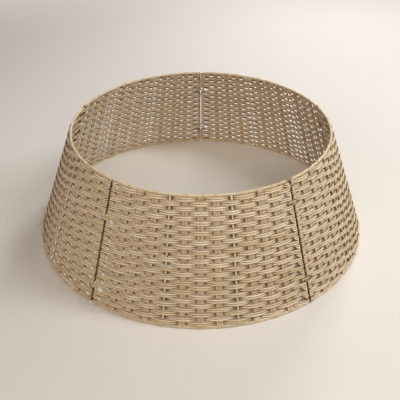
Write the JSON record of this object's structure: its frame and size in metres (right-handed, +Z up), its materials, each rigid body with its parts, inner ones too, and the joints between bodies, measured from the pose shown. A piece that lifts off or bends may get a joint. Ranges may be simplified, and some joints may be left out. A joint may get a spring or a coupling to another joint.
{
  "type": "christmas tree collar",
  "caption": "Woven wicker cone in hinged panels that stands on the floor round a christmas tree's stand and opens at the back.",
  "frame": {"origin": "on the floor, in the middle of the ring", "axes": "+Z up; -Y out through the middle of the front panel, so the closing seam is at +Y; +X to the right as seen from the front"},
  "size_m": [0.75, 0.7505, 0.25],
  "materials": {
    "straw": "matt straw-coloured woven strand",
    "reed": "matt split reed",
    "frame_wire": "straw-coloured coated wire",
    "hook_wire": "dark coated wire"
  },
  "bodies": {
    "front": {"front_wire_frame": "frame_wire", "front_stakes": "reed", "front_weave": "straw", "right_upper_tie": "straw", "right_lower_tie": "straw", "left_upper_tie": "straw", "left_lower_tie": "straw"},
    "front_right": {"front_right_wire_frame": "frame_wire", "front_right_stakes": "reed", "front_right_weave": "straw", "right_rear_upper_tie": "straw", "right_rear_lower_tie": "straw"},
    "back_right": {"back_right_wire_frame": "frame_wire", "back_right_stakes": "reed", "back_right_weave": "straw"},
    "back_left": {"back_left_wire_frame": "frame_wire", "back_left_stakes": "reed", "back_left_weave": "straw"},
    "front_left": {"front_left_wire_frame": "frame_wire", "front_left_stakes": "reed", "front_left_weave": "straw", "left_rear_upper_tie": "straw", "left_rear_lower_tie": "straw"},
    "upper_hook": {"upper_hook": "hook_wire"},
    "lower_hook": {"lower_hook": "hook_wire"}
  },
  "joints": [
    {"name": "right_seam", "type": "hinge", "parent": "front", "child": "front_right", "pos_m": [0.22365, -0.2972, 0.00305], "axis": [0.2035, -0.2801, -0.9381], "range_deg": [0, 120]},
    {"name": "right_rear_seam", "type": "hinge", "parent": "front_right", "child": "back_right", "pos_m": [0.35176, 0.12087, 0.00305], "axis": [0.3293, 0.107, -0.9381], "range_deg": [0, 120]},
    {"name": "left_seam", "type": "hinge", "parent": "front", "child": "front_left", "pos_m": [-0.22365, -0.2972, 0.00305], "axis": [0.2035, 0.2801, 0.9381], "range_deg": [0, 120]},
    {"name": "left_rear_seam", "type": "hinge", "parent": "front_left", "child": "back_left", "pos_m": [-0.35176, 0.12087, 0.00305], "axis": [0.3293, -0.107, 0.9381], "range_deg": [0, 120]},
    {"name": "upper_hook_swing", "type": "hinge", "parent": "back_left", "child": "upper_hook", "pos_m": [-0.00625, 0.3719, 0.00305], "axis": [0, -0.3462, 0.9381], "range_deg": [0, 100]},
    {"name": "lower_hook_swing", "type": "hinge", "parent": "back_left", "child": "lower_hook", "pos_m": [-0.00625, 0.3719, 0.00305], "axis": [0, -0.3462, 0.9381], "range_deg": [0, 100]}
  ]
}
